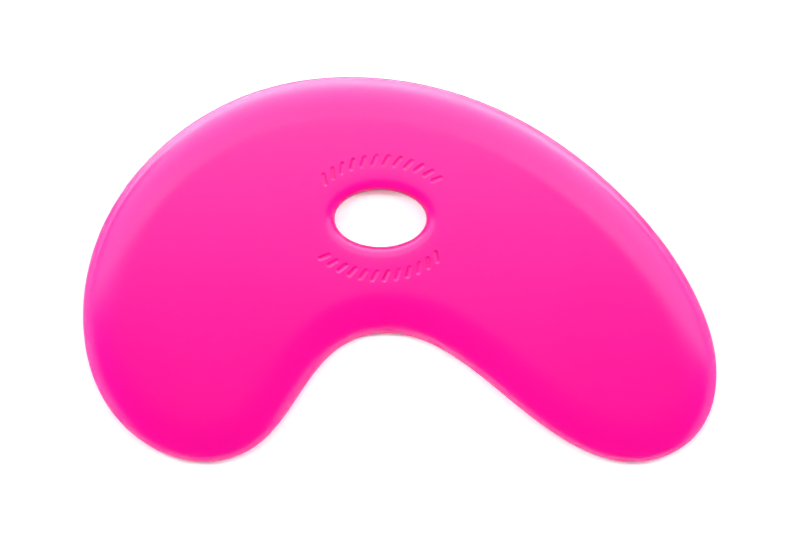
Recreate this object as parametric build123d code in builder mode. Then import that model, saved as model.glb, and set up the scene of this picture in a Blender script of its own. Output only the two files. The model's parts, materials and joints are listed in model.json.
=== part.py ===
from build123d import *
import math
import os

# A pottery rib is one moulded piece of flexible polymer, shaped like a kidney. Its back is flat.
# Its face is thickest round the oval finger hole and thins to the edge, with a rounded rim.
# The origin is the middle of the flat back. +X runs along the length, +Y points to the long
# outer curve, away from the hollow of the kidney, and +Z points out of the face.

# Overall size of the rib
rib_length = 120.65
rib_width = 73.36
hub_thickness = 6.35

# Edge, rim and crown
back_edge_radius = 0.45
edge_height = 1.3
rim_width = 8.2
crown_fall = 1.2

# Oval finger hole, its rounded lip and the shallow dish round the lip
hole_length = 17.5
hole_width = 10.84
hole_back_radius = 0.5
lip_radius = 1.9
dish_width = 1.8
dish_depth = 0.13

# The outline as shares of the length and the width, from the middle of the rib. It starts at
# the end of the narrow lobe and runs along the long outer curve to the wide lobe, round it,
# through the hollow and round the narrow lobe.
outline_shares = [
    (-0.500, -0.121),
    (-0.410, 0.261),
    (-0.230, 0.460),
    (-0.083, 0.500),
    (0.150, 0.420),
    (0.342, 0.206),
    (0.467, -0.067),
    (0.500, -0.281),
    (0.472, -0.422),
    (0.376, -0.500),
    (0.260, -0.442),
    (0.122, -0.269),
    (-0.005, -0.167),
    (-0.080, -0.188),
    (-0.234, -0.466),
    (-0.310, -0.500),
    (-0.441, -0.397),
]
hole_place_shares = (-0.0303, 0.132)

# Each skin of the moulding is lofted through closed rings, and a small rounded edge is made of
# a few such bands. The crown is one smooth patch that also passes through guide points, on
# lines from the inside of the rim to the finger hole.
points_round = 60
rim_steps = 8
round_bands = 3
band_steps = 3
dish_steps = 4
guide_lines = 12
guide_steps = 4

hole_x = hole_place_shares[0] * rib_length
hole_y = hole_place_shares[1] * rib_width
crest_offset = lip_radius + dish_width
crest_long_radius = hole_length / 2 + crest_offset
crest_short_radius = hole_width / 2 + crest_offset
dish_level = hub_thickness - dish_depth


# Outline

with BuildLine() as outline:
    Spline(*[(x * rib_length, y * rib_width) for x, y in outline_shares], periodic=True)

# Points at even steps along the outline, and the way inwards at each
outline_edge = outline.edges()[0]
stations = [step / points_round for step in range(points_round)]
edge_points = [outline_edge.position_at(station) for station in stations]
tangents = [outline_edge.tangent_at(station) for station in stations]
inward = [Vector(tangent.Y, -tangent.X) for tangent in tangents]


# Rings

def reach(point):
    """Distance from the middle of the finger hole, counted as 1 on the crest of the dish"""
    return math.hypot((point.X - hole_x) / crest_long_radius, (point.Y - hole_y) / crest_short_radius)


tip_reach = max(reach(point) for point in edge_points)


def crown_height(point):
    """Height of the crown, which falls from the crest of the dish to the farthest tip"""
    way_out = max(0, reach(point) - 1) / (tip_reach - 1)
    return hub_thickness - crown_fall * way_out ** 2


def edge_ring(depth, height):
    """Level ring that follows the outline, this far inside it"""
    return [point + way * depth + Vector(0, 0, height) for point, way in zip(edge_points, inward)]


def rim_ring(turn):
    """Ring of the rounded rim, which turns from upright at 0 to the crown at a quarter turn"""
    ring = []
    for point in edge_ring(rim_width * (1 - math.cos(turn)), edge_height):
        rise = (crown_height(point) - edge_height) * math.sin(turn)
        ring.append(point + Vector(0, 0, rise))
    return ring


def back_edge_ring(turn):
    """Ring of the outer back edge, which turns from the flat back at 0 to upright"""
    depth = back_edge_radius * (1 - math.sin(turn))
    return edge_ring(depth, back_edge_radius * (1 - math.cos(turn)))


def closed_wire(ring):
    """Smooth closed curve through a ring, with its points spaced as in every other ring"""
    return Wire([Edge.make_spline(ring, periodic=True, parameters=stations + [1])])


def oval(offset, height):
    """Level oval round the finger hole, this far outside its wall"""
    middle = Plane((hole_x, hole_y, height))
    return Wire([Edge.make_ellipse(hole_length / 2 + offset, hole_width / 2 + offset, middle)])


def dish_oval(share):
    """Level oval of the shallow dish, from its crest at 0 to the lip at 1"""
    depth = dish_depth * (1 - math.cos(math.pi * share)) / 2
    return oval(crest_offset - dish_width * share, hub_thickness - depth)


def lip_oval(turn):
    """Level oval of the lip, which turns from the dish at 0 to upright"""
    height = dish_level - lip_radius * (1 - math.cos(turn))
    return oval(lip_radius * (1 - math.sin(turn)), height)


def hole_back_oval(turn):
    """Level oval of the hole's back edge, which turns from upright at 0 to the flat back"""
    height = hole_back_radius * (1 - math.sin(turn))
    return oval(hole_back_radius * (1 - math.cos(turn)), height)


# Skins

def edge_skin(rings):
    """Smooth open surface through a row of rings that follow the outline"""
    return Shell.make_loft([closed_wire(ring) for ring in rings]).face()


def hole_skin(ovals):
    """Smooth open surface through a row of ovals round the finger hole"""
    return Shell.make_loft(ovals).face()


def rounded_edge(make_skin, ring_at):
    """Skins of a rounded edge, one for each band of its quarter turn"""
    band_turn = math.pi / 2 / round_bands
    starts = [band_turn * band for band in range(round_bands)]
    return [
        make_skin([ring_at(start + band_turn * step / band_steps) for step in range(band_steps + 1)])
        for start in starts
    ]


back_edge = rounded_edge(edge_skin, back_edge_ring)
upright_edge = edge_skin([edge_ring(0, back_edge_radius), edge_ring(0, edge_height)])
rim = edge_skin([rim_ring(math.pi / 2 * step / rim_steps) for step in range(rim_steps + 1)])

# The crown runs from the inside of the rim to the crest of the dish
rim_inside = rim_ring(math.pi / 2)
hole_middle = Vector(hole_x, hole_y)
crown_guides = []
for outer in rim_inside[::points_round // guide_lines]:
    for step in range(1, guide_steps):
        point = outer + (hole_middle - outer) * (step / guide_steps)
        crown_guides.append(Vector(point.X, point.Y, crown_height(point)))
crown = Face.make_surface(closed_wire(rim_inside), crown_guides, [dish_oval(0)])

dish = hole_skin([dish_oval(step / dish_steps) for step in range(dish_steps + 1)])
lip = rounded_edge(hole_skin, lip_oval)
hole_wall = hole_skin([oval(0, dish_level - lip_radius), oval(0, hole_back_radius)])
hole_back_edge = rounded_edge(hole_skin, hole_back_oval)
flat_back = Face(closed_wire(edge_ring(back_edge_radius, 0)), [oval(hole_back_radius, 0)])


# Rib body

with BuildPart() as rib_body:
    # Each skin meets the next along a ring, with the same slope on both sides
    outside = [*back_edge, upright_edge, rim, crown]
    inside = [dish, *lip, hole_wall, *hole_back_edge]
    add(Solid(Shell([*outside, *inside, flat_back])))

rib_body.part.label = "rib_body"

os.makedirs("parts", exist_ok=True)
export_step(rib_body.part, "parts/rib_body.step")
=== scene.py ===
import json
import math

import bpy
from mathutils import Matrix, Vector
from mathutils.kdtree import KDTree

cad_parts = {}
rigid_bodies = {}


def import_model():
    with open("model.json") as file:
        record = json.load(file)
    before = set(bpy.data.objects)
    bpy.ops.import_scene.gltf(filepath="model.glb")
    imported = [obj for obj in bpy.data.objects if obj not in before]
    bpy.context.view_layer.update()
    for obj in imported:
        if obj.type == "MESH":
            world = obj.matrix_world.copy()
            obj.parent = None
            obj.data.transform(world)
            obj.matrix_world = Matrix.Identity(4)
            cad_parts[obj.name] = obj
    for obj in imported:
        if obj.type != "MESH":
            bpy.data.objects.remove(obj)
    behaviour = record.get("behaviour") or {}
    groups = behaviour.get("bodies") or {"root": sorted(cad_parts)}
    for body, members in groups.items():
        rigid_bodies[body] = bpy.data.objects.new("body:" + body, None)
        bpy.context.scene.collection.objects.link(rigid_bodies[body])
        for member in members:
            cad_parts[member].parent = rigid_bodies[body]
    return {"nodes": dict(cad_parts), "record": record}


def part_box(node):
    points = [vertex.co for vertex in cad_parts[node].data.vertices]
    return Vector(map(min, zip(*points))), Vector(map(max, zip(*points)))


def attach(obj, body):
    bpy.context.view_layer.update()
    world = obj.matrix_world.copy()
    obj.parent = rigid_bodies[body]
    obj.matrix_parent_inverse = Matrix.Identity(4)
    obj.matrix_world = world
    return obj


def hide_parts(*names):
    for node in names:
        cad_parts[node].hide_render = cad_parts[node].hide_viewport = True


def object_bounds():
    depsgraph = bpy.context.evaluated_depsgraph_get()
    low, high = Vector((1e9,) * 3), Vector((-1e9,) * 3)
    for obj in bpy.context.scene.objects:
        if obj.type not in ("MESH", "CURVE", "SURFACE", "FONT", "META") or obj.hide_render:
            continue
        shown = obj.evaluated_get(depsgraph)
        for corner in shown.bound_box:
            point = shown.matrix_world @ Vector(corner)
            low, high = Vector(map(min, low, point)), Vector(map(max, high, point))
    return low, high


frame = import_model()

cad_low, cad_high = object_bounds()

# Rib body
# A pottery rib is one moulding of flexible polymer with a flat back and a domed face. The rim is
# rolled inwards from the outline, a fine net of faces makes the crown, and the dish and the hole
# are drawn down from it. Two rows of short grip marks are pressed into the face round the dish.
MM = 0.001
hub_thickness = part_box("rib_body")[1].z
edge_height = 1.3 * MM
back_edge_radius = 0.45 * MM
rim_width = 8.2 * MM
crown_fall = 1.2 * MM
hole_half_length = 8.75 * MM
hole_half_width = 5.42 * MM
hole_back_radius = 0.5 * MM
crest_offset = 3.7 * MM
dish_depth = 0.13 * MM
lip_width = 2.1 * MM
lip_fall = 1.9 * MM
lip_power = 0.85
band_width = 3.2 * MM
marks_in_row = 12
row_span = math.radians(96)
mark_offset = 5.5 * MM
mark_slant = math.radians(28)
mark_reach = 0.85 * MM
mark_radius = 0.42 * MM
mark_wall = 0.16 * MM
mark_depth = 0.25 * MM
outline_steps = 3
outline_trim = 0.02 * MM
hole_points = 720
rim_rings = 24
net_pitch = 1 * MM
net_margin = 0.5 * MM
band_rings = 30
dish_rings = 8
lip_rings = 18
back_round_rings = 5
back_margin = 0.3 * MM
same_place = 0.002 * MM

hole_mount = next(mount for mount in frame["record"]["mounts"] if mount["name"] == "finger_hole")
hole_x, hole_y = hole_mount["pos_m"][:2]
hole_middle = Vector((hole_x, hole_y, 0))
band_offset = crest_offset + band_width
quarter_turn = math.pi / 2


def only_active(piece):
    """Leave one piece selected and active"""
    bpy.ops.object.select_all(action="DESELECT")
    piece.select_set(True)
    bpy.context.view_layer.objects.active = piece


def select_where(piece, test):
    """In edit mode, leave only the vertices selected that pass the test"""
    bpy.ops.object.mode_set(mode="OBJECT")
    chosen = [test(vertex) for vertex in piece.data.vertices]
    bpy.ops.object.mode_set(mode="EDIT")
    bpy.ops.mesh.select_mode(type="VERT")
    bpy.ops.mesh.select_all(action="DESELECT")
    bpy.ops.object.mode_set(mode="OBJECT")
    piece.data.vertices.foreach_set("select", chosen)
    bpy.ops.object.mode_set(mode="EDIT")


def at_height(height):
    """Test for the vertices at one height"""
    return lambda vertex: abs(vertex.co.z - height) < same_place


def oval_share(co, offset):
    """Distance from the middle of the hole, counted as 1 on the oval this far outside its wall"""
    from_middle = co - hole_middle
    return math.hypot(
        from_middle.x / (hole_half_length + offset),
        from_middle.y / (hole_half_width + offset),
    )


def on_oval(offset):
    """Test for the vertices on the oval this far outside the wall of the hole"""
    return lambda vertex: abs(oval_share(vertex.co, offset) - 1) < same_place / hole_half_width


def draw_ovals(profile):
    """In edit mode, extrude the selected oval through places given as offset and height"""
    offset, height = profile[0]
    for next_offset, next_height in profile[1:]:
        bpy.ops.mesh.extrude_edges_move(
            TRANSFORM_OT_translate={"value": (0, 0, next_height - height)},
        )
        bpy.ops.transform.resize(
            value=(
                (hole_half_length + next_offset) / (hole_half_length + offset),
                (hole_half_width + next_offset) / (hole_half_width + offset),
                1,
            ),
            center_override=hole_middle,
        )
        offset, height = next_offset, next_height


# The outline is the CAD body's own ring at the top of its upright edge, made a smooth curve
cad_body = frame["nodes"]["rib_body"]
only_active(cad_body)
bpy.ops.object.duplicate()
rib = bpy.context.object
rib.name = "rib_moulding"
bpy.ops.object.parent_clear(type="CLEAR_KEEP_TRANSFORM")
for key in list(rib.keys()):
    del rib[key]
bpy.ops.object.mode_set(mode="EDIT")
bpy.ops.mesh.select_all(action="SELECT")
bpy.ops.mesh.remove_doubles(threshold=same_place)
select_where(rib, lambda vertex: abs(vertex.co.z - edge_height) > same_place)
bpy.ops.mesh.delete(type="VERT")
bpy.ops.object.mode_set(mode="OBJECT")
bpy.ops.object.convert(target="CURVE")
rib = bpy.context.object
rib.data.resolution_u = outline_steps
bpy.ops.object.mode_set(mode="EDIT")
bpy.ops.curve.select_all(action="SELECT")
bpy.ops.curve.spline_type_set(type="BEZIER")
bpy.ops.curve.handle_type_set(type="AUTOMATIC")
bpy.ops.object.mode_set(mode="OBJECT")
bpy.ops.object.convert(target="MESH")
rib = bpy.context.object

# The curve is drawn in a little, to stay inside the box of the CAD body's flat facets
bpy.ops.object.mode_set(mode="EDIT")
bpy.ops.mesh.select_all(action="SELECT")
kept_share = 1 - outline_trim / cad_high.y
bpy.ops.transform.resize(value=(kept_share, kept_share, 1), center_override=(0, 0, 0))
bpy.ops.object.mode_set(mode="OBJECT")
outline_tree = KDTree(len(rib.data.vertices))
for vertex in rib.data.vertices:
    outline_tree.insert(vertex.co, vertex.index)
outline_tree.balance()
tip_share = max(oval_share(vertex.co, crest_offset) for vertex in rib.data.vertices)

# The rim is rolled inwards from the outline, and flattens as it climbs to the crown
bpy.ops.object.mode_set(mode="EDIT")
bpy.ops.mesh.select_mode(type="VERT")
bpy.ops.mesh.select_all(action="SELECT")
bpy.ops.mesh.edge_face_add()
bpy.ops.object.mode_set(mode="OBJECT")
if rib.data.polygons[0].normal.z < 0:
    rib.data.flip_normals()
bpy.ops.object.mode_set(mode="EDIT")
rim_rise = hub_thickness - edge_height
for ring in range(rim_rings):
    turn, next_turn = [quarter_turn * step / rim_rings for step in (ring, ring + 1)]
    bpy.ops.mesh.inset(
        thickness=rim_width * (math.cos(turn) - math.cos(next_turn)),
        depth=rim_rise * (math.sin(next_turn) - math.sin(turn)),
    )
bpy.ops.mesh.delete(type="ONLY_FACE")
bpy.ops.object.mode_set(mode="OBJECT")
rim_count = len(rib.data.vertices)


# The net of the crown is a grid, cut back to stay clear of the rim and of the band of marks
def in_net(vertex):
    """Whether a vertex of the grid lies over the crown, clear of its edges"""
    place = vertex.co.copy()
    over_body = cad_body.ray_cast(place + Vector((0, 0, hub_thickness)), Vector((0, 0, -1)))[0]
    place.z = edge_height
    clear_of_rim = outline_tree.find(place)[2] > rim_width + net_margin
    return over_body and clear_of_rim and oval_share(place, band_offset + net_margin) > 1


bpy.ops.object.mode_set(mode="EDIT")
bpy.ops.mesh.select_all(action="DESELECT")
net_columns, net_rows = [
    math.ceil((high - low) / net_pitch) for low, high in zip(cad_low.xy, cad_high.xy)
]
bpy.ops.mesh.primitive_grid_add(
    x_subdivisions=net_columns,
    y_subdivisions=net_rows,
    size=net_pitch,
    location=(0, 0, hub_thickness),
)
bpy.ops.transform.resize(value=(net_columns, net_rows, 1), center_override=(0, 0, hub_thickness))
select_where(rib, lambda vertex: vertex.index >= rim_count and not in_net(vertex))
bpy.ops.mesh.delete(type="VERT")
bpy.ops.mesh.select_all(action="SELECT")
bpy.ops.mesh.delete_loose(use_faces=False)
bpy.ops.mesh.select_all(action="DESELECT")
bpy.ops.mesh.primitive_circle_add(
    vertices=hole_points,
    radius=hole_half_length + band_offset,
    location=(hole_x, hole_y, hub_thickness),
)
bpy.ops.transform.resize(
    value=(1, (hole_half_width + band_offset) / (hole_half_length + band_offset), 1),
    center_override=(hole_x, hole_y, hub_thickness),
)
bpy.ops.mesh.select_mode(type="EDGE")
bpy.ops.mesh.select_all(action="DESELECT")
bpy.ops.mesh.select_non_manifold(extend=False)
bpy.ops.object.mode_set(mode="OBJECT")
vertices = rib.data.vertices
for edge in rib.data.edges:
    edge.select = edge.select and vertices[edge.vertices[0]].co.z > hub_thickness - same_place
bpy.ops.object.mode_set(mode="EDIT")
bpy.ops.mesh.fill(use_beauty=True)
select_where(rib, on_oval(band_offset))
draw_ovals([
    (band_offset - band_width * step / band_rings, hub_thickness) for step in range(band_rings + 1)
])
bpy.ops.object.mode_set(mode="OBJECT")

# The crown falls from the crest towards the tips, and the rim falls with it
for vertex in rib.data.vertices:
    way_out = (oval_share(vertex.co, crest_offset) - 1) / (tip_share - 1)
    rim_share = (vertex.co.z - edge_height) / rim_rise
    vertex.co.z -= rim_share * crown_fall * way_out ** 2

# Each grip mark is a slanted groove with round ends, and the rows face away from the hole
mark_tree = KDTree(2 * marks_in_row)
mark_leans = []
for row_side in (1, -1):
    for step in range(marks_in_row):
        turn = row_span * (step / (marks_in_row - 1) - 0.5)
        along = Vector((math.sin(turn), math.cos(turn), 0)) * row_side
        middle = Vector((
            along.x * (hole_half_length + mark_offset),
            along.y * (hole_half_width + mark_offset),
            0,
        ))
        outwards = Vector((
            along.x / (hole_half_length + mark_offset),
            along.y / (hole_half_width + mark_offset),
            0,
        )).normalized()
        sideways = Vector((outwards.y, -outwards.x, 0))
        mark_tree.insert(hole_middle + middle, len(mark_leans))
        mark_leans.append(outwards * math.cos(mark_slant) + sideways * math.sin(mark_slant))
mark_tree.balance()
for vertex in rib.data.vertices:
    if vertex.co.z < hub_thickness - mark_depth or oval_share(vertex.co, crest_offset) < 1:
        continue
    place = Vector((vertex.co.x, vertex.co.y, 0))
    for middle, mark, distance in mark_tree.find_range(place, mark_reach + mark_radius):
        from_middle = place - middle
        way_along = from_middle.dot(mark_leans[mark])
        way_along = max(-mark_reach, min(mark_reach, way_along))
        to_axis = (from_middle - mark_leans[mark] * way_along).length
        if to_axis < mark_radius:
            wall_share = min(1, (mark_radius - to_axis) / mark_wall)
            vertex.co.z -= mark_depth * (1 - math.cos(math.pi * wall_share)) / 2


# The dish, the rolled lip, the wall and the back edge of the hole are drawn down from the crest
def dish_height(offset):
    """Height of the shallow dish at this distance outside the wall of the hole"""
    return hub_thickness - dish_depth * (1 - offset / crest_offset) ** 2


hole_profile = []
for step in range(dish_rings + 1):
    offset = crest_offset + (lip_width - crest_offset) * step / dish_rings
    hole_profile.append((offset, dish_height(offset)))
for step in range(1, lip_rings + 1):
    turn = quarter_turn * step / lip_rings
    offset = lip_width * (1 - math.sin(turn) ** lip_power)
    fall = lip_fall * (1 - max(0, math.cos(turn)) ** lip_power)
    hole_profile.append((offset, dish_height(offset) - fall))
for step in range(back_round_rings + 1):
    turn = quarter_turn * step / back_round_rings
    height = hole_back_radius * (1 - math.sin(turn))
    hole_profile.append((hole_back_radius * (1 - math.cos(turn)), height))
hole_profile.append((hole_back_radius + back_margin, 0))
select_where(rib, on_oval(crest_offset))
draw_ovals(hole_profile)

# The upright edge, the rounded back edge and the flat back close the moulding below
select_where(rib, at_height(edge_height))
bpy.ops.mesh.extrude_edges_move(
    TRANSFORM_OT_translate={"value": (0, 0, back_edge_radius - edge_height)},
)
bpy.ops.mesh.edge_face_add()
for ring in range(back_round_rings):
    turn, next_turn = [quarter_turn * step / back_round_rings for step in (ring, ring + 1)]
    bpy.ops.mesh.inset(
        thickness=back_edge_radius * (math.cos(turn) - math.cos(next_turn)),
        depth=back_edge_radius * (math.sin(next_turn) - math.sin(turn)),
    )
bpy.ops.mesh.inset(thickness=back_margin, depth=0)
bpy.ops.mesh.delete(type="ONLY_FACE")
bpy.ops.mesh.select_mode(type="EDGE")
bpy.ops.mesh.select_all(action="DESELECT")
bpy.ops.mesh.select_non_manifold(extend=False)
bpy.ops.mesh.fill(use_beauty=True)
bpy.ops.mesh.select_all(action="SELECT")
bpy.ops.mesh.normals_make_consistent(inside=False)
bpy.ops.object.mode_set(mode="OBJECT")
bpy.ops.object.shade_smooth()


class Signal:
    """An output of a shader node. Each operator adds the Math node that it stands for"""

    def __init__(self, finish, node, output):
        self.finish = finish
        self.node = node
        self.socket = node.outputs[output]

    def output(self, name):
        return Signal(self.finish, self.node, name)

    def combine(self, operation, first, second):
        return self.finish.add("ShaderNodeMath", {"operation": operation}, {0: first, 1: second})

    def __add__(self, other):
        return self.combine("ADD", self, other)

    def __sub__(self, other):
        return self.combine("SUBTRACT", self, other)

    def __rsub__(self, other):
        return self.combine("SUBTRACT", other, self)

    def __mul__(self, other):
        return self.combine("MULTIPLY", self, other)

    __radd__ = __add__
    __rmul__ = __mul__


class Finish:
    """The node tree of a material or of the world"""

    def __init__(self, owner):
        owner.use_nodes = True
        self.tree = owner.node_tree
        self.tree.nodes.clear()

    def add(self, kind, settings=None, inputs=None, output=0):
        """Add a node, set it up, feed its sockets with values or links, and give one output"""
        node = self.tree.nodes.new(kind)
        for name, value in (settings or {}).items():
            setattr(node, name, value)
        for name, value in (inputs or {}).items():
            if isinstance(value, Signal):
                self.tree.links.new(value.socket, node.inputs[name])
            else:
                node.inputs[name].default_value = value
        if node.outputs:
            return Signal(self, node, output)


# The polymer is a deep pink all through, with a satin face that carries a fine matte grain
polymer_pink = (0.97, 0.0015, 0.296, 1)
polymer_pale = (0.985, 0.003, 0.314, 1)
cloud_size = 18 * MM
cloud_detail = 3
grain_size = 0.28 * MM
grain_detail = 2
grain_depth = 0.004 * MM
polymer_roughness = 0.24
roughness_spread = 0.04
grazing_start = 0.6
grazing_end = 0.72
grazing_roughness = 0.45

polymer = bpy.data.materials.new("satin_polymer")
finish = Finish(polymer)
place = finish.add("ShaderNodeTexCoord", output="Object")
clouds, grain = [
    finish.add("ShaderNodeTexNoise", inputs={"Vector": place, "Scale": 1 / size, "Detail": detail})
    for size, detail in ((cloud_size, cloud_detail), (grain_size, grain_detail))
]

# A Mix node has its factor at socket 0, its two colours at 6 and 7, and the mixed colour at 2
pink = finish.add(
    "ShaderNodeMix", {"data_type": "RGBA"}, {0: clouds, 6: polymer_pink, 7: polymer_pale}, output=2,
)

# The gloss is softer where the face is seen at a grazing angle
facing = finish.add("ShaderNodeLayerWeight", output="Facing")
grazing = finish.add(
    "ShaderNodeMapRange",
    {"interpolation_type": "SMOOTHSTEP"},
    {
        "Value": facing,
        "From Min": grazing_start,
        "From Max": grazing_end,
        "To Max": grazing_roughness,
    },
)
roughness = polymer_roughness + (clouds + grain - 1) * roughness_spread + grazing
relief = finish.add("ShaderNodeBump", inputs={"Height": grain, "Distance": grain_depth})
surface = finish.add(
    "ShaderNodeBsdfPrincipled",
    inputs={"Base Color": pink, "Roughness": roughness, "Normal": relief},
)
finish.add("ShaderNodeOutputMaterial", inputs={"Surface": surface})
rib.data.materials.clear()
rib.data.materials.append(polymer)

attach(rib, "root")
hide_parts("rib_body")

# Floor
# The rib lies on a plain white table, which is lit as the rib is and lifted to white where it is
# seen, apart from the deep part of the rib's shadow. Beyond the long curve the table carries a
# painted glow that only glossy rays see, a painted reflection that gives the rim its pale edge.
floor_size = 6
floor_white = (0.9, 0.9, 0.9, 1)
glow_white = (1, 1, 1, 1)
floor_lift = 0.3
# The painted glow on the table: where it starts, how far it rises, how its border bends, and how
# bright it is
painted_glow_start = 20 * MM
painted_glow_rise = 50 * MM
painted_glow_curve = 6
painted_glow_bend_limit = 12 * MM
painted_glow_light = 8.5

bpy.ops.object.select_all(action="DESELECT")
bpy.ops.mesh.primitive_plane_add(size=floor_size)
floor = bpy.context.object
floor.name = "floor"
tabletop = bpy.data.materials.new("white_table")
finish = Finish(tabletop)
ray = finish.add("ShaderNodeLightPath", output="Is Camera Ray")
seen = ray + ray.output("Is Glossy Ray") + ray.output("Is Transmission Ray")

# The near border of the painted glow bends with the long curve, up to a limit towards the two lobes
place = finish.add("ShaderNodeTexCoord", output="Object")
easting = finish.add("ShaderNodeSeparateXYZ", inputs={"Vector": place}, output="X")
painted_glow_bend = finish.add(
    "ShaderNodeMath",
    {"operation": "MINIMUM"},
    {0: easting * easting * painted_glow_curve, 1: painted_glow_bend_limit},
)
northing = easting.output("Y") + painted_glow_bend
painted_glow = finish.add(
    "ShaderNodeMapRange",
    {"interpolation_type": "SMOOTHSTEP"},
    {
        "Value": northing,
        "From Min": painted_glow_start,
        "From Max": painted_glow_start + painted_glow_rise,
        "To Max": painted_glow_light,
    },
)
paint = finish.add("ShaderNodeBsdfDiffuse", inputs={"Color": floor_white})
# Camera, glossy and transmission rays see the table lifted to white, and glossy rays also see the
# painted glow
brightness = seen * floor_lift + painted_glow * ray.output("Is Glossy Ray")
glow = finish.add("ShaderNodeEmission", inputs={"Color": glow_white, "Strength": brightness})
lifted = finish.add("ShaderNodeAddShader", inputs={0: paint, 1: glow})
finish.add("ShaderNodeOutputMaterial", inputs={"Surface": lifted})
floor.data.materials.append(tabletop)

# Studio
# White cards stand round the table, and a bank of light hangs over the side of the long curve.
# Each card has a lamp for the matte look of the rib or one for its gloss, or both of them. The
# room is dim, and white where it is seen.
studio_reach = 1.2
studio_height = 0.46
card_height = 0.15
lamp_height = 0.25
lamp_start, lamp_end = 0.04, 0.08
shine_start, shine_end = 0.06, 0.12
bank_start, bank_end = 0.35, 0.6
room_white = (1, 1, 1, 1)
room_light = 0.03
backdrop_light = 1


def hang_card(name, use, light, start, end):
    """Hang a lamp on a flat card between two corners, for the matte or for the glossy look"""
    start, end = Vector(start), Vector(end)
    middle = (start + end) / 2
    upright = start.z != end.z
    aim = Vector((-middle.x, -middle.y, 0)) if upright else Vector((0, 0, -1))
    bpy.ops.object.light_add(type="AREA", location=middle)
    card = bpy.context.object
    card.name = name
    card.rotation_euler = aim.to_track_quat("-Z", "Y").to_euler()
    card.data.shape = "RECTANGLE"
    card.data.size = studio_reach * 2
    card.data.size_y = end.z - start.z if upright else end.y - start.y
    # The light is how bright the card looks, so its energy grows with its area
    card.data.energy = light * math.pi * card.data.size * card.data.size_y
    card.visible_camera = False
    card.visible_diffuse = use == "matte"
    card.visible_glossy = use == "gloss"
    # Importance sampling would put a part of a matte lamp's light into the gloss
    card.data.cycles.use_multiple_importance_sampling = use == "gloss"


for name, use, light, near_side, far_side, height in (
    ("lamp", "matte", 13.5, lamp_start, lamp_end, lamp_height),
    ("middle_shine", "gloss", 1, 0, shine_start, studio_height),
    ("lamp_shine", "gloss", 3.6, shine_start, shine_end, studio_height),
    ("near_bank_shine", "gloss", 2.4, shine_end, bank_start, studio_height),
    ("bank_shine", "gloss", 2.9, bank_start, bank_end, studio_height),
    ("far_bank_shine", "gloss", 4, bank_end, studio_reach, studio_height),
):
    hang_card(name, use, light, (0, near_side, height), (0, far_side, height))

north, south = (0, studio_reach), (0, -studio_reach)
west, east = (-studio_reach, 0), (studio_reach, 0)
for name, use, light, side, foot, head in (
    ("north_low_shine", "gloss", 9, north, 0, card_height),
    ("north_high_shine", "gloss", 6.2, north, card_height, studio_height),
    ("north_card", "matte", 2.2, north, card_height, studio_height),
    ("south_card", "matte", 8.2, south, 0, card_height),
    ("west_card", "matte", 10.7, west, 0, card_height),
    ("west_shine", "gloss", 1.2, west, 0, studio_height),
    ("east_card", "matte", 8.8, east, 0, card_height),
    ("east_shine", "gloss", 1.1, east, 0, studio_height),
):
    hang_card(name, use, light, (*side, foot), (*side, head))

room = bpy.data.worlds.new("room")
bpy.context.scene.world = room
finish = Finish(room)
seen = finish.add("ShaderNodeLightPath", output="Is Camera Ray")
dim, bright = [
    finish.add("ShaderNodeBackground", inputs={"Color": room_white, "Strength": light})
    for light in (room_light, backdrop_light)
]
backdrop = finish.add("ShaderNodeMixShader", inputs={0: seen, 1: dim, 2: bright})
finish.add("ShaderNodeOutputWorld", inputs={"Surface": backdrop})

# Camera
# The camera looks straight down through a long lens, so that hardly any of the upright edge
# shows, and its frame is a little wider than the rib.
lens = 150
sensor_width = 36
frame_width = 152.33 * MM
frame_middle = (0.044 * MM, 0.552 * MM)

camera_height = edge_height + frame_width * lens / sensor_width
bpy.ops.object.camera_add(location=(*frame_middle, camera_height), rotation=(0, 0, 0))
camera = bpy.context.object
camera.name = "camera"
camera.data.lens = lens
camera.data.sensor_width = sensor_width
bpy.context.scene.camera = camera
bpy.context.scene.view_settings.view_transform = "Standard"
